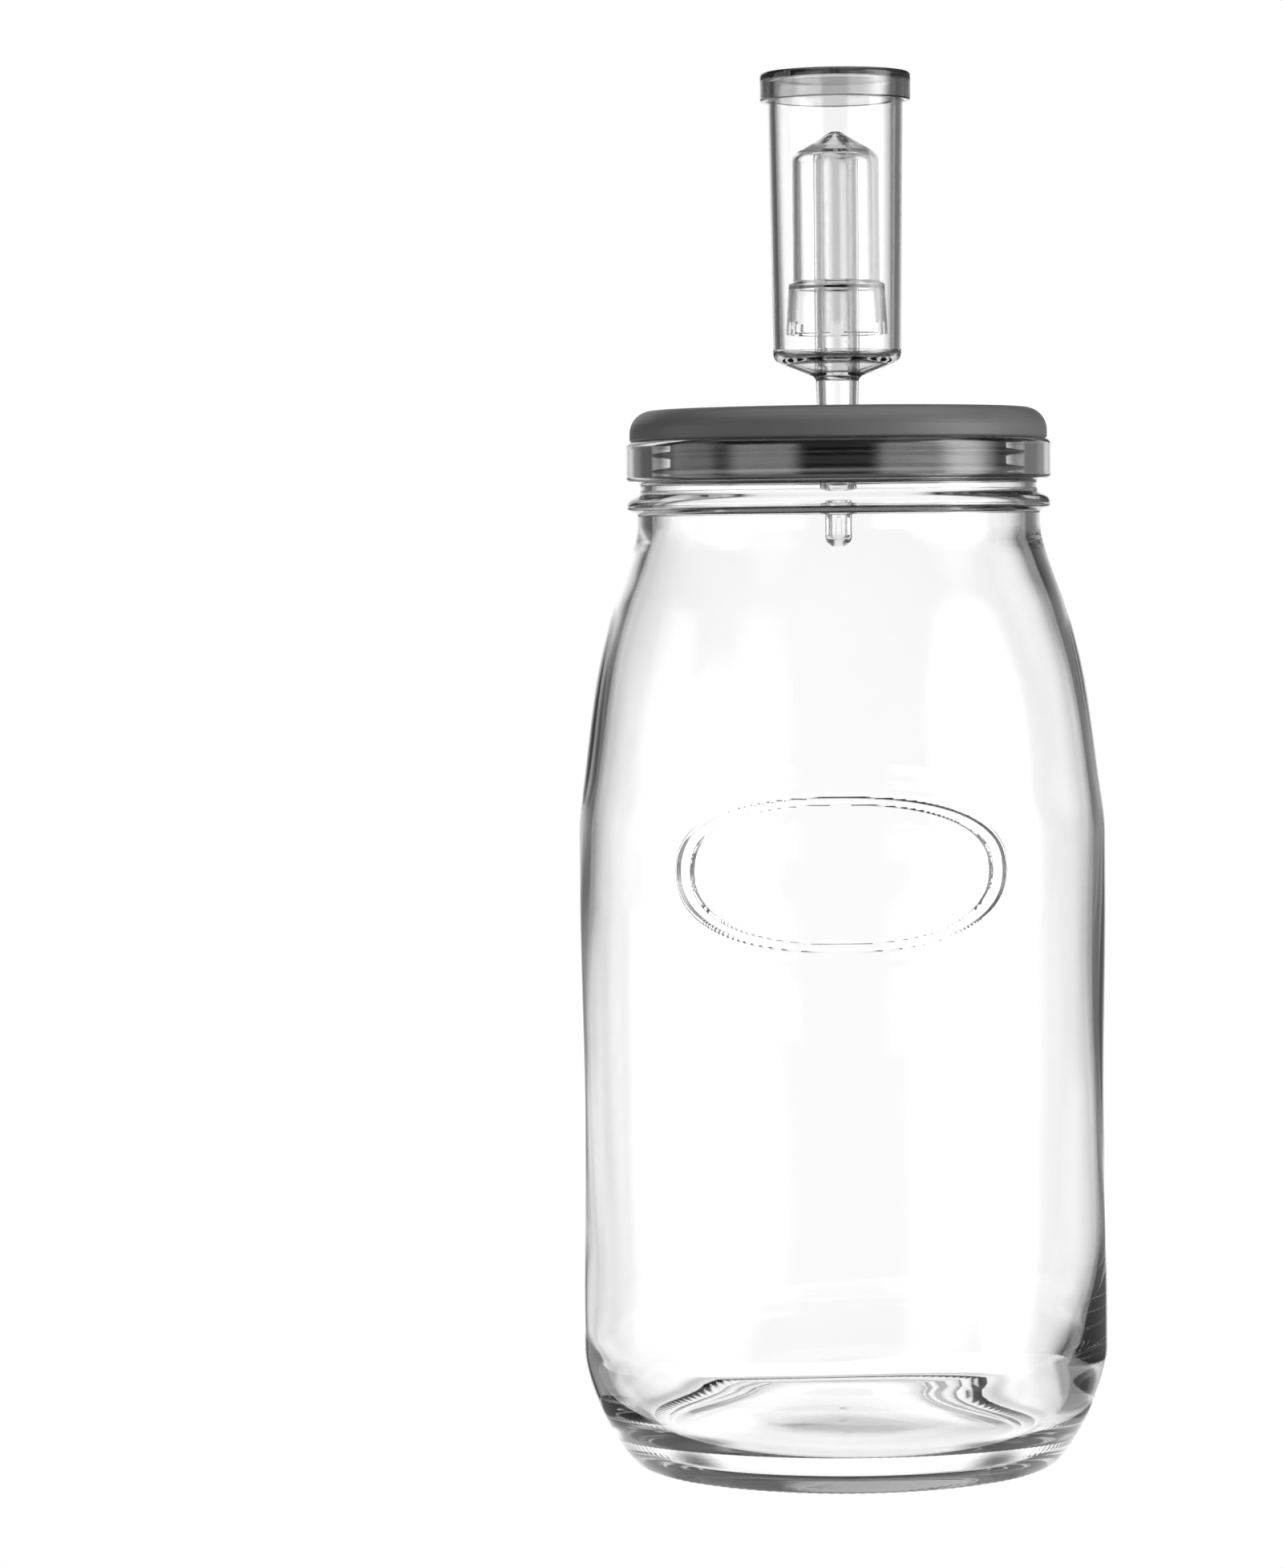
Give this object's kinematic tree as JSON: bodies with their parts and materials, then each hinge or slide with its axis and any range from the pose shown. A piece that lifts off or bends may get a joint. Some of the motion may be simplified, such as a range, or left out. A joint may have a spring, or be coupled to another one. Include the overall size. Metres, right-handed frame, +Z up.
{
  "type": "fermentation jar with airlock",
  "caption": "Tall clear glass jar with a wide neck, a soft push-in lid and a clear three-piece airlock through the lid.",
  "frame": {"origin": "centre of the jar's foot ring, on the surface it stands on", "axes": "+Z up along the common axis of jar, lid and airlock; the picture's viewer looks along +Y"},
  "size_m": [0.1392, 0.1392, 0.3662],
  "materials": {
    "jar_glass": "clear, smooth, thick at the heel",
    "lid_silicone": "mid-grey silicone, satin",
    "airlock_plastic": "clear moulded polystyrene",
    "bubbler_plastic": "clear moulded polystyrene",
    "cap_plastic": "clear moulded polyethylene, slightly hazy"
  },
  "bodies": {
    "jar": {"jar": "jar_glass"},
    "lid": {"lid": "lid_silicone"},
    "airlock": {"airlock_body": "airlock_plastic"},
    "bubbler": {"bubbler": "bubbler_plastic"},
    "airlock_cap": {"airlock_cap": "cap_plastic"}
  },
  "joints": [
    {"name": "lid_lift", "type": "slide", "parent": "jar", "child": "lid", "axis": [0, 0, 1], "range_m": [0, 0.08]},
    {"name": "airlock_pull", "type": "slide", "parent": "lid", "child": "airlock", "axis": [0, 0, 1], "range_m": [0, 0.045]},
    {"name": "bubbler_float", "type": "slide", "parent": "airlock", "child": "bubbler", "axis": [0, 0, 1], "range_m": [0, 0.0133]},
    {"name": "cap_lift", "type": "slide", "parent": "airlock", "child": "airlock_cap", "axis": [0, 0, 1], "range_m": [0, 0.02]}
  ]
}
